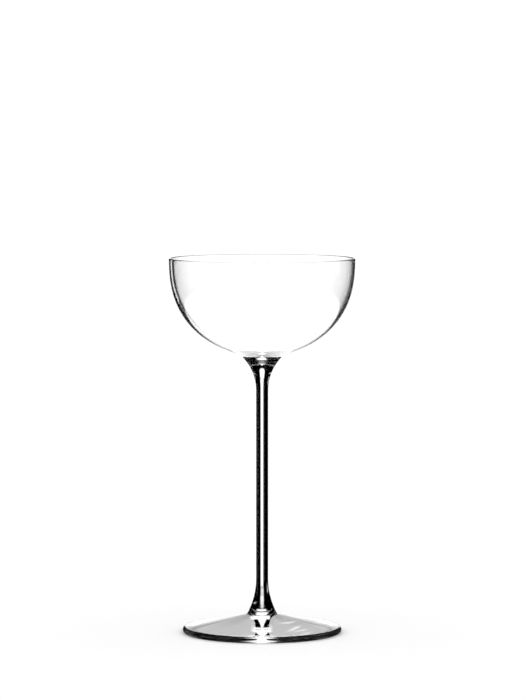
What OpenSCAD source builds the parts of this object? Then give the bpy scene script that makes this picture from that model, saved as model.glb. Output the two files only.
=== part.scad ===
// Stemmed cocktail glass with a round bowl, a thin drawn stem and a wide foot.
// Three pieces of clear glass, fused hot: bowl, stem and foot.
// Millimetres. The glass stands on z = 0 and its axis is the Z axis.

/* [Bowl] */
// Height of the glass, from the table to the top of the rim
glass_h = 178; // [160:1:200]
// Width of the bowl across the outside of its rim
rim_d = 88.2; // [76:0.2:100]
// Depth of the bowl, from the top of the rim to the lowest point outside
bowl_depth = 46.4; // [38:0.1:56]
// Thickness of the bowl's wall at the rim, which is rounded over in full
bowl_wall = 0.9; // [0.7:0.1:2.4]
// Thickness of the bowl's floor, to which the wall grows on the way down
bowl_floor = 1.6; // [1:0.1:3.2]
// How full the bowl's sides are: 2 is a half ellipse and more is squarer
bowl_fullness = 2.4; // [2:0.02:3]
// How far the pad that takes the stem reaches below the bowl
pad_drop = 0.4; // [0.2:0.1:1.5]
// Width of the cove in which the stem's curve runs on into the bowl's underside
pad_cove = 8; // [3:0.1:10]

/* [Stem] */
// Thickness of the straight part of the stem
stem_d = 5.7; // [4:0.1:8]
// Width of the joint where the stem carries the bowl
seat_d = 18.8; // [15:0.1:24]
// Radius of the curve in which the stem opens towards the bowl
upper_flare_r = 22.2; // [16:0.1:34]
// Radius of the curve in which the stem opens towards the foot
lower_flare_r = 34.9; // [20:0.1:45]

/* [Foot] */
// Width of the foot
foot_d = 75.5; // [62:0.1:88]
// Height of the foot's crest, where the stem is joined
crest_h = 8.8; // [6:0.1:12]
// Width of that joint
crest_d = 14.4; // [11:0.1:20]
// Thickness of the foot at its rounded edge
foot_edge_t = 3.1; // [1.6:0.1:4]
// How the upper side falls: 1 is a straight cone and more is a hollow sweep
foot_sweep = 1.3; // [1:0.05:1.6]
// Depth of the hollow under the middle of the foot
foot_hollow = 1.1; // [0.4:0.1:3]
// Width of the flat ring that the glass stands on
ring_w = 3; // [1:0.1:5]

/* [Hidden] */
glass_color = [0.86, 0.91, 0.92, 0.5];
// Facets of a full turn, and steps along a curve of an outline
$fn = 180;
curve_steps = 32;
roll_steps = 12;
cove_steps = 16;

rim_r = rim_d / 2;
stem_r = stem_d / 2;
seat_r = seat_d / 2;
crest_r = crest_d / 2;
foot_r = foot_d / 2;

// Heights of the bowl: the middle of its rounded lip, its pad and its floor
lip_r = bowl_wall / 2;
lip_z = glass_h - lip_r;
seat_z = glass_h - bowl_depth - pad_drop;
curve_depth = bowl_depth - lip_r;

// The turn of the upper curve, from upright to the joint
upper_turn = acos(1 - (seat_r - stem_r) / upper_flare_r);
upper_start_z = seat_z - upper_flare_r * sin(upper_turn);

// The turn of the lower curve, which ends in a crease on the foot
lower_turn = acos(1 - (crest_r - stem_r) / lower_flare_r);
lower_start_z = crest_h + lower_flare_r * sin(lower_turn);

// The foot's rounded edge and the inside of its ring
edge_r = foot_edge_t / 2;
edge_x = foot_r - edge_r;
ring_in_r = edge_x - ring_w;

// Points from one angle to another on a circle, its centre given as [radius, height]
function arc(centre, r, from, to, steps) =
    [for (i = [0:steps]) let (a = from + (to - from) * i / steps) centre + r * [cos(a), sin(a)]];

// One point of a bowl curve: its radius falls as a cosine and its depth grows as a power of the sine
function bowl_point(r, depth, a) =
    [r * cos(a), lip_z - depth * pow(sin(a), 2 / bowl_fullness)];

// Points of a bowl curve from one angle to another, where 0 is the lip and 90 the bottom
function bowl_curve(r, depth, from, to) =
    [for (i = [0:curve_steps]) bowl_point(r, depth, from + (to - from) * i / curve_steps)];

// Direction of a bowl curve towards its bottom at that angle, as [radius, height]
function bowl_slope(r, depth, a) =
    [-r * sin(a), -depth * 2 / bowl_fullness * pow(sin(a), 2 / bowl_fullness - 1) * cos(a)];

// Where a line from p along u crosses a line from q along v
function crossing(p, u, q, v) =
    p + u * ((q[0] - p[0]) * v[1] - (q[1] - p[1]) * v[0]) / (u[0] * v[1] - u[1] * v[0]);

// Points of a curve from p to q that leaves p and reaches q along lines that cross at c
function bend(p, c, q, steps) =
    [for (i = [0:steps]) let (t = i / steps) (1 - t) * (1 - t) * p + 2 * t * (1 - t) * c + t * t * q];

// Height of the foot's upper side at a radius between its crest and its edge
function foot_top_z(r) =
    foot_edge_t + (crest_h - foot_edge_t) * pow((edge_x - r) / (edge_x - crest_r), foot_sweep);

// Height of the hollow under the foot at a radius inside its ring
function foot_under_z(r) = foot_hollow * (1 - pow(r / ring_in_r, 2));

// Bowl: a thin wall with a rounded lip, and under it the pad, whose cove carries on the stem's curve
module bowl() {
    cove_a = acos((seat_r + pad_cove) / rim_r);
    outside = bowl_curve(rim_r, curve_depth, 0, cove_a);
    cove_top = outside[curve_steps];
    seat = [seat_r, seat_z];
    stem_way = [sin(upper_turn), cos(upper_turn)];
    corner = crossing(seat, stem_way, cove_top, bowl_slope(rim_r, curve_depth, cove_a));
    cove = [for (i = [1:cove_steps]) bend(cove_top, corner, seat, cove_steps)[i]];
    inside = bowl_curve(rim_r - bowl_wall, curve_depth - bowl_floor, 90, 0);
    lip = [for (i = [1:roll_steps - 1]) let (a = 180 - 180 * i / roll_steps)
        [rim_r - lip_r + lip_r * cos(a), lip_z + lip_r * sin(a)]];
    color(glass_color)
        rotate_extrude()
            polygon(concat(outside, cove, [[0, seat_z]], inside, lip));
}

// Stem: a straight rod that opens in one curve to the foot and in another to the bowl
module stem() {
    lower_centre = [stem_r + lower_flare_r, lower_start_z];
    upper_centre = [stem_r + upper_flare_r, upper_start_z];
    lower = arc(lower_centre, lower_flare_r, 180 + lower_turn, 180, curve_steps);
    upper = arc(upper_centre, upper_flare_r, 180, 180 - upper_turn, curve_steps);
    color(glass_color)
        rotate_extrude()
            polygon(concat([[0, crest_h]], lower, upper, [[0, seat_z]]));
}

// Foot: a sweeping upper side, a rounded edge, a flat ring to stand on and a shallow hollow
module foot() {
    top = [for (i = [0:curve_steps])
        let (r = crest_r + (edge_x - crest_r) * i / curve_steps) [r, foot_top_z(r)]];
    edge = arc([edge_x, edge_r], edge_r, 90, -90, roll_steps);
    under = [for (i = [0:curve_steps]) let (r = ring_in_r * (1 - i / curve_steps)) [r, foot_under_z(r)]];
    color(glass_color)
        rotate_extrude()
            polygon(concat([[0, crest_h]], top, [for (i = [1:roll_steps]) edge[i]], under));
}

bowl();
stem();
foot();
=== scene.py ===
"""Looks of the stemmed cocktail glass: three pieces of clear, fire-polished glass, fused hot."""

import math

import bpy
import numpy as np
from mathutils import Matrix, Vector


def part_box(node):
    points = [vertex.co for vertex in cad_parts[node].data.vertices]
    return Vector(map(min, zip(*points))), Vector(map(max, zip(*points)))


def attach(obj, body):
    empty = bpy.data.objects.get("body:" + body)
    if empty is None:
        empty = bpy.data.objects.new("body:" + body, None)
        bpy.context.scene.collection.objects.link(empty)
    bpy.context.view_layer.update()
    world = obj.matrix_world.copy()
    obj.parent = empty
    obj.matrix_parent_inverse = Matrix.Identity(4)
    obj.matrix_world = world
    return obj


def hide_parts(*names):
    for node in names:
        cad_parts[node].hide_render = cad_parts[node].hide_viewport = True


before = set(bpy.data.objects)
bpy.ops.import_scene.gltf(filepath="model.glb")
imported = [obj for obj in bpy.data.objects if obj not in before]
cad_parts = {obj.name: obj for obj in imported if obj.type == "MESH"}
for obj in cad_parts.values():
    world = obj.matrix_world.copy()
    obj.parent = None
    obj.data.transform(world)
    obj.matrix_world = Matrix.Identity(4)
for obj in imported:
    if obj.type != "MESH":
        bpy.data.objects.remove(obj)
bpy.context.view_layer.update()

# Sizes in metres, read from the tops of the frame's boxes where they show there
BOWL_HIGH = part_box("bowl")[1]
STEM_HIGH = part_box("stem")[1]
FOOT_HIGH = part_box("foot")[1]
RIM_Z = BOWL_HIGH.z
SEAT_Z = STEM_HIGH.z
SEAT_R = STEM_HIGH.x
CREST_Z = FOOT_HIGH.z
FOOT_R = FOOT_HIGH.x

# Bowl
RIM_R = 0.0441
WALL = 0.0009
FLOOR_T = 0.0016
LIP_R = WALL / 2
LIP_Z = RIM_Z - LIP_R
PAD_DROP = 0.0004
PAD_COVE = 0.008
BOWL_FULLNESS = 2.4
CURVE_DEPTH = RIM_Z - LIP_R - SEAT_Z - PAD_DROP

# Stem
STEM_R = 0.00285
UPPER_FLARE_R = 0.0222
LOWER_FLARE_R = 0.0349
CREST_R = 0.0072
UPPER_TURN = math.acos(1 - (SEAT_R - STEM_R) / UPPER_FLARE_R)

# Foot
EDGE_T = 0.0031
EDGE_R = EDGE_T / 2
EDGE_X = FOOT_R - EDGE_R
FOOT_SWEEP = 1.3
FOOT_HOLLOW = 0.0011
RING_W = 0.003

# Fineness of the meshes: points round the axis, and along the long and short curves of an outline
TURN_POINTS = 288
CURVE_POINTS = 120
SMALL_POINTS = 24
# A point this near a joint's height lies on the joint
JOINT_SLACK = 1e-7

# Glass: its index, and the marks of hand work on each piece as waves per metre across the axis, waves
# per metre along it, and the depth of the swell in metres
GLASS_INDEX = 1.5
BOWL_MARKS = (70, 190, 0.000008)
STEM_MARKS = (800, 30, 0.0000015)
FOOT_MARKS = (120, 120, 0.000008)
# The haze of the polish has this many waves for each one of the swell. It starts and is fullest where
# its noise has these two values, and there the roughness is HAZE
SWELL_DETAIL = 1
HAZE_WAVES = 3
HAZE_DETAIL = 4
HAZE_START = 0.45
HAZE_FULL = 0.8
HAZE = 0.015


def bowl_point(radius, depth, angle):
    """The bowl's curve: the radius falls as the cosine of the angle, and the depth below the lip
    grows as the sine to the power 2 / BOWL_FULLNESS."""
    return np.stack([radius * np.cos(angle), LIP_Z - depth * np.sin(angle) ** (2 / BOWL_FULLNESS)], -1)


def arc(centre, radius, start, end, count):
    """Points of a circle about centre = (radius from the axis, height), from one angle to another."""
    angle = np.linspace(start, end, count)
    return np.stack([centre[0] + radius * np.cos(angle), centre[1] + radius * np.sin(angle)], -1)


def bowl_slope(radius, depth, angle):
    """Direction of the bowl's curve towards its bottom: the derivatives of bowl_point by the angle."""
    power = 2 / BOWL_FULLNESS
    fall = depth * power * math.sin(angle) ** (power - 1) * math.cos(angle)
    return np.array([-radius * math.sin(angle), -fall])


def bowl_outline():
    """Flat joint, cove, outside curve, lip and inside curve. The cove is the quadratic curve
    (1 - t)^2 p + 2 t (1 - t) c + t^2 q, where the tangents of stem and bowl cross at c."""
    cove_angle = math.acos((SEAT_R + PAD_COVE) / RIM_R)
    outside = bowl_point(RIM_R, CURVE_DEPTH, np.linspace(cove_angle, 0, CURVE_POINTS))
    seat = np.array([SEAT_R, SEAT_Z])
    upward = np.array([math.sin(UPPER_TURN), math.cos(UPPER_TURN)])
    inward = bowl_slope(RIM_R, CURVE_DEPTH, cove_angle)
    reach = np.linalg.solve(np.stack([upward, -inward], 1), outside[0] - seat)
    corner = seat + reach[0] * upward
    t = np.linspace(0, 1, SMALL_POINTS)[:, None]
    cove = (1 - t) ** 2 * seat + 2 * t * (1 - t) * corner + t ** 2 * outside[0]
    lip = arc((RIM_R - LIP_R, LIP_Z), LIP_R, 0, math.pi, SMALL_POINTS)
    inside = bowl_point(RIM_R - WALL, CURVE_DEPTH - FLOOR_T, np.linspace(0, math.pi / 2, CURVE_POINTS))
    inside[-1, 0] = 0
    return np.concatenate([[[0, SEAT_Z]], cove[:-1], outside, lip[1:-1], inside])


def stem_outline():
    """Lower joint, lower curve, straight rod, upper curve and upper joint."""
    lower_turn = math.acos(1 - (CREST_R - STEM_R) / LOWER_FLARE_R)
    lower_z = CREST_Z + LOWER_FLARE_R * math.sin(lower_turn)
    upper_z = SEAT_Z - UPPER_FLARE_R * math.sin(UPPER_TURN)
    lower = arc((STEM_R + LOWER_FLARE_R, lower_z), LOWER_FLARE_R, math.pi + lower_turn, math.pi, CURVE_POINTS)
    upper = arc((STEM_R + UPPER_FLARE_R, upper_z), UPPER_FLARE_R, math.pi, math.pi - UPPER_TURN, CURVE_POINTS)
    rod_z = np.linspace(lower_z, upper_z, SMALL_POINTS)[1:-1]
    rod = np.stack([np.full_like(rod_z, STEM_R), rod_z], -1)
    return np.concatenate([[[0, CREST_Z]], lower, rod, upper, [[0, SEAT_Z]]])


def foot_outline():
    """Hollow, flat ring, rounded edge, sweeping upper side and flat joint."""
    ring_in = EDGE_X - RING_W
    r = np.linspace(0, ring_in, CURVE_POINTS)
    under = np.stack([r, FOOT_HOLLOW * (1 - (r / ring_in) ** 2)], -1)
    edge = arc((EDGE_X, EDGE_R), EDGE_R, -math.pi / 2, math.pi / 2, SMALL_POINTS)
    r = np.linspace(EDGE_X, CREST_R, CURVE_POINTS)
    top_z = EDGE_T + (CREST_Z - EDGE_T) * ((EDGE_X - r) / (EDGE_X - CREST_R)) ** FOOT_SWEEP
    top = np.stack([r, top_z], -1)
    return np.concatenate([under, edge, top[1:], [[0, CREST_Z]]])


def revolved(name, outline, joint_z):
    """The outline turned about the Z axis. A point of the grid is (r cos t, r sin t, z), the first and
    last points of the outline are single poles, and the faces that lie flat at a joint's height take
    the second material."""
    rings = outline[1:-1]
    t = np.arange(TURN_POINTS) * (2 * math.pi / TURN_POINTS)
    grid = np.empty((len(rings), TURN_POINTS, 3))
    grid[..., 0] = rings[:, :1] * np.cos(t)
    grid[..., 1] = rings[:, :1] * np.sin(t)
    grid[..., 2] = rings[:, 1:]
    poles = np.array([[0, 0, outline[0, 1]], [0, 0, outline[-1, 1]]])
    points = np.concatenate([grid.reshape(-1, 3), poles])
    index = np.arange(len(rings) * TURN_POINTS).reshape(len(rings), TURN_POINTS)
    turned = np.roll(index, -1, axis=1)
    quads = np.stack([index[:-1], turned[:-1], turned[1:], index[1:]], -1).reshape(-1, 4)
    first, last = len(points) - 2, len(points) - 1
    start = np.stack([np.full(TURN_POINTS, first), turned[0], index[0]], -1)
    end = np.stack([np.full(TURN_POINTS, last), index[-1], turned[-1]], -1)
    mesh = bpy.data.meshes.new(name)
    mesh.from_pydata(points.tolist(), [], quads.tolist() + start.tolist() + end.tolist())
    mesh.polygons.foreach_set("use_smooth", np.ones(len(mesh.polygons), bool))
    mark_joints(mesh, points[:, 2], joint_z)
    mesh.update()
    piece = bpy.data.objects.new(name, mesh)
    bpy.context.scene.collection.objects.link(piece)
    return piece


def mark_joints(mesh, z, joint_z):
    """Gives a face its second material where all its corners are at a joint's height, and makes the
    edge between such a face and another one sharp."""
    level = np.any(np.abs(z[:, None] - np.array(joint_z)[None]) < JOINT_SLACK, axis=1)
    corners = np.empty(len(mesh.loops), np.int32)
    mesh.loops.foreach_get("vertex_index", corners)
    starts = np.empty(len(mesh.polygons), np.int32)
    mesh.polygons.foreach_get("loop_start", starts)
    flat = np.minimum.reduceat(level[corners].astype(np.int8), starts)
    mesh.polygons.foreach_set("material_index", flat.astype(np.int32))
    edge_of_corner = np.empty(len(mesh.loops), np.int32)
    mesh.loops.foreach_get("edge_index", edge_of_corner)
    face_of_corner = np.repeat(np.arange(len(starts)), np.diff(np.append(starts, len(corners))))
    flat_sides = np.bincount(edge_of_corner, flat[face_of_corner], len(mesh.edges))
    mesh.edges.foreach_set("use_edge_sharp", flat_sides == 1)


def hand_worked():
    """Node group for the marks of hand work. Across and Along are waves per metre, across the axis and
    along it. Height is the slow swell of the drawn glass, and Roughness the faint haze of its polish."""
    group = bpy.data.node_groups.new("hand_worked", "ShaderNodeTree")
    group.interface.new_socket("Across", in_out="INPUT", socket_type="NodeSocketFloat")
    group.interface.new_socket("Along", in_out="INPUT", socket_type="NodeSocketFloat")
    group.interface.new_socket("Height", in_out="OUTPUT", socket_type="NodeSocketFloat")
    group.interface.new_socket("Roughness", in_out="OUTPUT", socket_type="NodeSocketFloat")
    nodes, links = group.nodes, group.links
    waves = nodes.new("NodeGroupInput")
    stretch = nodes.new("ShaderNodeCombineXYZ")
    for axis, name in (("X", "Across"), ("Y", "Across"), ("Z", "Along")):
        links.new(waves.outputs[name], stretch.inputs[axis])
    stretched = nodes.new("ShaderNodeVectorMath")
    stretched.operation = "MULTIPLY"
    links.new(nodes.new("ShaderNodeTexCoord").outputs["Object"], stretched.inputs[0])
    links.new(stretch.outputs[0], stretched.inputs[1])
    swell = nodes.new("ShaderNodeTexNoise")
    swell.inputs["Scale"].default_value = 1
    swell.inputs["Detail"].default_value = SWELL_DETAIL
    links.new(stretched.outputs[0], swell.inputs["Vector"])
    haze = nodes.new("ShaderNodeTexNoise")
    haze.inputs["Scale"].default_value = HAZE_WAVES
    haze.inputs["Detail"].default_value = HAZE_DETAIL
    links.new(stretched.outputs[0], haze.inputs["Vector"])
    polish = nodes.new("ShaderNodeMapRange")
    polish.inputs["From Min"].default_value = HAZE_START
    polish.inputs["From Max"].default_value = HAZE_FULL
    polish.inputs["To Max"].default_value = HAZE
    links.new(haze.outputs[0], polish.inputs["Value"])
    results = nodes.new("NodeGroupOutput")
    links.new(swell.outputs[0], results.inputs["Height"])
    links.new(polish.outputs["Result"], results.inputs["Roughness"])
    return group


def glass(name, marks, across, along, depth):
    """Clear glass, polished by fire. The marks of hand work have that many waves per metre across and
    along the axis, and are that deep."""
    material = bpy.data.materials.new(name)
    material.use_nodes = True
    nodes, links = material.node_tree.nodes, material.node_tree.links
    shader = nodes["Principled BSDF"]
    shader.inputs["Base Color"].default_value = (1, 1, 1, 1)
    shader.inputs["IOR"].default_value = GLASS_INDEX
    shader.inputs["Transmission Weight"].default_value = 1
    worked = nodes.new("ShaderNodeGroup")
    worked.node_tree = marks
    worked.inputs["Across"].default_value = across
    worked.inputs["Along"].default_value = along
    links.new(worked.outputs["Roughness"], shader.inputs["Roughness"])
    swell = nodes.new("ShaderNodeBump")
    swell.inputs["Distance"].default_value = depth
    links.new(worked.outputs["Height"], swell.inputs["Height"])
    links.new(swell.outputs["Normal"], shader.inputs["Normal"])
    return material


def fused_joint():
    """Where two pieces are melted together there is no surface to see, so the faces let light straight on."""
    material = bpy.data.materials.new("fused_joint")
    material.use_nodes = True
    nodes, links = material.node_tree.nodes, material.node_tree.links
    nodes.remove(nodes["Principled BSDF"])
    clear = nodes.new("ShaderNodeBsdfTransparent")
    links.new(clear.outputs["BSDF"], nodes["Material Output"].inputs["Surface"])
    return material


def place(piece, node, material, joint):
    """Gives a piece its glass and its joint faces, and puts it in the place of its CAD node."""
    piece.data.materials.append(material)
    piece.data.materials.append(joint)
    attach(piece, "root")
    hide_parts(node)


joint = fused_joint()
marks = hand_worked()
bowl_glass = glass("bowl_glass", marks, *BOWL_MARKS)
stem_glass = glass("stem_glass", marks, *STEM_MARKS)
foot_glass = glass("foot_glass", marks, *FOOT_MARKS)
place(revolved("glass_bowl", bowl_outline(), [SEAT_Z]), "bowl", bowl_glass, joint)
place(revolved("glass_stem", stem_outline(), [CREST_Z, SEAT_Z]), "stem", stem_glass, joint)
place(revolved("glass_foot", foot_outline(), [CREST_Z]), "foot", foot_glass, joint)

# Camera: a long lens, a little above the rim
CAMERA_AWAY = 1.77
CAMERA_UP = 0.25925
CAMERA_ASIDE = 0.000165
CAMERA_PITCH = math.radians(4.032)
LENS = 192.93
SENSOR = 36
cam = bpy.data.cameras.new("camera")
cam.lens = LENS
cam.sensor_width = SENSOR
camera = bpy.data.objects.new("camera", cam)
camera.location = (CAMERA_ASIDE, -CAMERA_AWAY, CAMERA_UP)
camera.rotation_euler = (math.pi / 2 - CAMERA_PITCH, 0, 0)
bpy.context.scene.collection.objects.link(camera)
bpy.context.scene.camera = camera

# Studio light. Angles are in degrees and lengths in metres. An azimuth of 0 is straight behind the glass
# and positive ones are to the right.
# White strip behind the glass, and the wider ones that take over from it high up and low down. Each side
# or end is a pair: its place and half the width of its soft edge
STRIP = ((-6.9, 0.8), (9.2, 2.7))
STRIP_ENDS = ((-15, 3), (12, 3))
HIGH_STRIP = ((-8.5, 4), (8.5, 4))
LOW_STRIP = ((-8, 3), (8, 3))
# Heights between which these two fade in
HIGH_FADE = (9, 15)
LOW_FADE = (-12, -18)
# Light of the strip: height above the horizon and brightness
STRIP_LIGHT = (
    (-90, 0.8),
    (-20, 0.8),
    (-12, 1.2),
    (0, 1.3),
    (12, 1.6),
    (17, 1.8),
    (23, 2.3),
    (31, 3.1),
    (42, 3.0),
    (55, 1.6),
    (90, 0.8),
)
# Brightness of all that is seen straight
WHITE = 1.04
# Soft white windows to the other sides: azimuths of their sides, heights of their ends, and light
WINDOWS = (
    (-54, -36, -34, -16, 0.5),
    (-99, -81, -12, 6, 0.9),
    (126, 144, -24, -6, 0.9),
    (-200, -168, -19, 1, 0.4),
    (168, 200, -19, 1, 0.4),
)
WINDOW_EDGE = 6
# Narrow white card behind the bowl on the left: distance, azimuths of its sides, heights of its ends
# in metres, and light
CARD_AWAY = 0.12
CARD_SIDES = (-50.5, -45.8)
CARD_ENDS = (0.131, 0.178)
CARD_LIGHT = 1.5
# White collar under the bowl, in two rings: its hole, the end of its inner ring, its outer side, its
# height at the hole, and how steeply it falls
COLLAR_IN = 0.0097
COLLAR_STEP = 0.017
COLLAR_OUT = 2.2
COLLAR_TOP = 0.1311
COLLAR_FALL = 20
# Light of the inner ring, of the outer one, and of the part of the outer one that is straight behind
# the glass, which reaches this far to each side and has this soft an edge
COLLAR_INNER = 2.8
COLLAR_BRIGHT = 1.5
COLLAR_DIM = 0.6
COLLAR_BEHIND = 20
COLLAR_EDGE = 4


class Sums:
    """Arithmetic with the numbers of a node tree."""

    def __init__(self, tree):
        self.nodes = tree.nodes
        self.links = tree.links

    def fill(self, socket, value):
        """Gives a socket a number, or the number that another node puts out."""
        if isinstance(value, bpy.types.NodeSocket):
            self.links.new(value, socket)
        else:
            socket.default_value = value

    def do(self, operation, *values):
        """The result of one operation of the math node."""
        node = self.nodes.new("ShaderNodeMath")
        node.operation = operation
        for socket, value in zip(node.inputs, values):
            self.fill(socket, value)
        return node.outputs[0]

    def rise(self, value, low, high):
        """0 at low and 1 at high, with a soft step between them."""
        node = self.nodes.new("ShaderNodeMapRange")
        node.interpolation_type = "SMOOTHSTEP"
        for name, amount in (("Value", value), ("From Min", low), ("From Max", high)):
            self.fill(node.inputs[name], amount)
        return node.outputs["Result"]

    def between(self, value, left, right):
        """1 between two sides, each given as its place and the half width of its soft edge."""
        return self.do("MULTIPLY", self.rise(value, left[0] - left[1], left[0] + left[1]),
                       self.rise(value, right[0] + right[1], right[0] - right[1]))

    def seen_in_glass(self):
        """1 for light that the glass mirrors or lets through, and 0 for what the camera sees straight."""
        path = self.nodes.new("ShaderNodeLightPath")
        return self.do("MAXIMUM", path.outputs["Is Glossy Ray"], path.outputs["Is Transmission Ray"])


def studio():
    """The world round the glass. Seen straight, it is all white. In the glass it is a bright strip
    behind it, dark on both sides of the strip, and soft windows to the other sides. The strip's light
    goes by height, on a ramp that runs from straight down at 0 to straight up at 1."""
    world = bpy.data.worlds.new("studio")
    bpy.context.scene.world = world
    world.use_nodes = True
    tree = world.node_tree
    sums = Sums(tree)
    background = tree.nodes["Background"]
    background.inputs["Color"].default_value = (1, 1, 1, 1)
    split = tree.nodes.new("ShaderNodeSeparateXYZ")
    tree.links.new(tree.nodes.new("ShaderNodeTexCoord").outputs["Generated"], split.inputs[0])
    x, y, z = split.outputs
    azimuth = sums.do("DEGREES", sums.do("ARCTAN2", x, y))
    height = sums.do("DEGREES", sums.do("ARCSINE", z))
    ramp = tree.nodes.new("ShaderNodeValToRGB")
    ramp.color_ramp.interpolation = "LINEAR"
    while len(ramp.color_ramp.elements) < len(STRIP_LIGHT):
        ramp.color_ramp.elements.new(0.5)
    most = max(light for up, light in STRIP_LIGHT)
    for stop, (up, light) in zip(ramp.color_ramp.elements, STRIP_LIGHT):
        stop.position = (up + 90) / 180
        stop.color = (light / most, light / most, light / most, 1)
    tree.links.new(sums.do("MULTIPLY_ADD", height, 1 / 180, 0.5), ramp.inputs["Fac"])
    middle = sums.between(azimuth, *STRIP)
    high = sums.do("MULTIPLY", sums.between(azimuth, *HIGH_STRIP), sums.rise(height, *HIGH_FADE))
    low = sums.do("MULTIPLY", sums.between(azimuth, *LOW_STRIP), sums.rise(height, *LOW_FADE))
    level = sums.do("MULTIPLY", middle, sums.between(height, *STRIP_ENDS))
    strip = sums.do("MAXIMUM", level, sums.do("MAXIMUM", high, low))
    field = sums.do("MULTIPLY", sums.do("MULTIPLY", strip, ramp.outputs["Color"]), most)
    for left, right, bottom, top, light in WINDOWS:
        wide = sums.between(azimuth, (left, WINDOW_EDGE), (right, WINDOW_EDGE))
        tall = sums.between(height, (bottom, WINDOW_EDGE), (top, WINDOW_EDGE))
        field = sums.do("MAXIMUM", field, sums.do("MULTIPLY", sums.do("MULTIPLY", wide, tall), light))
    seen = sums.seen_in_glass()
    white = sums.do("MULTIPLY", sums.do("SUBTRACT", 1, seen), WHITE)
    strength = sums.do("ADD", white, sums.do("MULTIPLY", seen, field))
    tree.links.new(strength, background.inputs["Strength"])


def plain_table():
    """A matt white table."""
    material = bpy.data.materials.new("table")
    material.use_nodes = True
    shader = material.node_tree.nodes["Principled BSDF"]
    shader.inputs["Base Color"].default_value = (1, 1, 1, 1)
    shader.inputs["Roughness"].default_value = 1
    shader.inputs["Specular IOR Level"].default_value = 0
    return material


def card_light(name, light, behind_light):
    """Light from a card's front, with another strength on the part that is straight behind the glass.
    The card's back lets light through."""
    material = bpy.data.materials.new(name)
    material.use_nodes = True
    tree = material.node_tree
    sums = Sums(tree)
    tree.nodes.remove(tree.nodes["Principled BSDF"])
    split = tree.nodes.new("ShaderNodeSeparateXYZ")
    tree.links.new(tree.nodes.new("ShaderNodeTexCoord").outputs["Object"], split.inputs[0])
    azimuth = sums.do("DEGREES", sums.do("ARCTAN2", split.outputs[0], split.outputs[1]))
    behind = sums.between(azimuth, (-COLLAR_BEHIND, COLLAR_EDGE), (COLLAR_BEHIND, COLLAR_EDGE))
    glow = tree.nodes.new("ShaderNodeEmission")
    tree.links.new(sums.do("MULTIPLY_ADD", behind, behind_light - light, light), glow.inputs["Strength"])
    clear = tree.nodes.new("ShaderNodeBsdfTransparent")
    side = tree.nodes.new("ShaderNodeMixShader")
    tree.links.new(tree.nodes.new("ShaderNodeNewGeometry").outputs["Backfacing"], side.inputs[0])
    tree.links.new(glow.outputs[0], side.inputs[1])
    tree.links.new(clear.outputs[0], side.inputs[2])
    tree.links.new(side.outputs[0], tree.nodes["Material Output"].inputs["Surface"])
    return material


def collar(name, inner, outer, light, behind_light):
    """A ring of the white collar under the bowl, which throws light up into it: a part of the cone
    (r cos t, r sin t, COLLAR_TOP - (r - COLLAR_IN) tan COLLAR_FALL)."""
    t = np.arange(TURN_POINTS) * (2 * math.pi / TURN_POINTS)
    r = np.array([inner, outer])[:, None]
    z = COLLAR_TOP - (r - COLLAR_IN) * math.tan(math.radians(COLLAR_FALL)) + 0 * t
    points = np.stack([r * np.cos(t), r * np.sin(t), z], -1).reshape(-1, 3)
    index = np.arange(2 * TURN_POINTS).reshape(2, TURN_POINTS)
    turned = np.roll(index, -1, axis=1)
    mesh = bpy.data.meshes.new(name)
    mesh.from_pydata(points.tolist(), [], np.stack([index[0], index[1], turned[1], turned[0]], -1).tolist())
    mesh.materials.append(card_light(name, light, behind_light))
    stage_card(name, mesh)


def stage_card(name, mesh):
    """Puts up a card that shows only in the glass and throws no shadow."""
    card = bpy.data.objects.new(name, mesh)
    bpy.context.scene.collection.objects.link(card)
    card.visible_camera = False
    card.visible_diffuse = False
    card.visible_shadow = False


def side_card():
    """A narrow upright card, bent round the glass: (CARD_AWAY sin a, CARD_AWAY cos a, z)."""
    a = np.radians(np.linspace(*CARD_SIDES, SMALL_POINTS))
    ring = np.stack([CARD_AWAY * np.sin(a), CARD_AWAY * np.cos(a)], -1)
    points = np.concatenate([np.column_stack([ring, np.full(SMALL_POINTS, z)]) for z in CARD_ENDS])
    low = np.arange(SMALL_POINTS - 1)
    high = low + SMALL_POINTS
    mesh = bpy.data.meshes.new("side_card")
    mesh.from_pydata(points.tolist(), [], np.stack([low, low + 1, high + 1, high], -1).tolist())
    mesh.materials.append(card_light("side_card", CARD_LIGHT, CARD_LIGHT))
    stage_card("side_card", mesh)


studio()

# Floor, which doesn't show in the glass
FLOOR_SIZE = 6
half = FLOOR_SIZE / 2
floor_corners = [(-half, -half, 0), (half, -half, 0), (half, half, 0), (-half, half, 0)]
floor_mesh = bpy.data.meshes.new("floor")
floor_mesh.from_pydata(floor_corners, [], [(0, 1, 2, 3)])
floor = bpy.data.objects.new("floor", floor_mesh)
bpy.context.scene.collection.objects.link(floor)
floor_mesh.materials.append(plain_table())
floor.visible_glossy = False
floor.visible_transmission = False
collar("inner_collar", COLLAR_IN, COLLAR_STEP, COLLAR_INNER, COLLAR_INNER)
collar("outer_collar", COLLAR_STEP, COLLAR_OUT, COLLAR_BRIGHT, COLLAR_DIM)
side_card()

# Bounces enough for the light to find its way out of the glass
BOUNCES = 32
GLOSSY_BOUNCES = 16
scene = bpy.context.scene
scene.view_settings.view_transform = "Standard"
scene.cycles.max_bounces = BOUNCES
scene.cycles.transmission_bounces = BOUNCES
scene.cycles.glossy_bounces = GLOSSY_BOUNCES
scene.cycles.transparent_max_bounces = BOUNCES
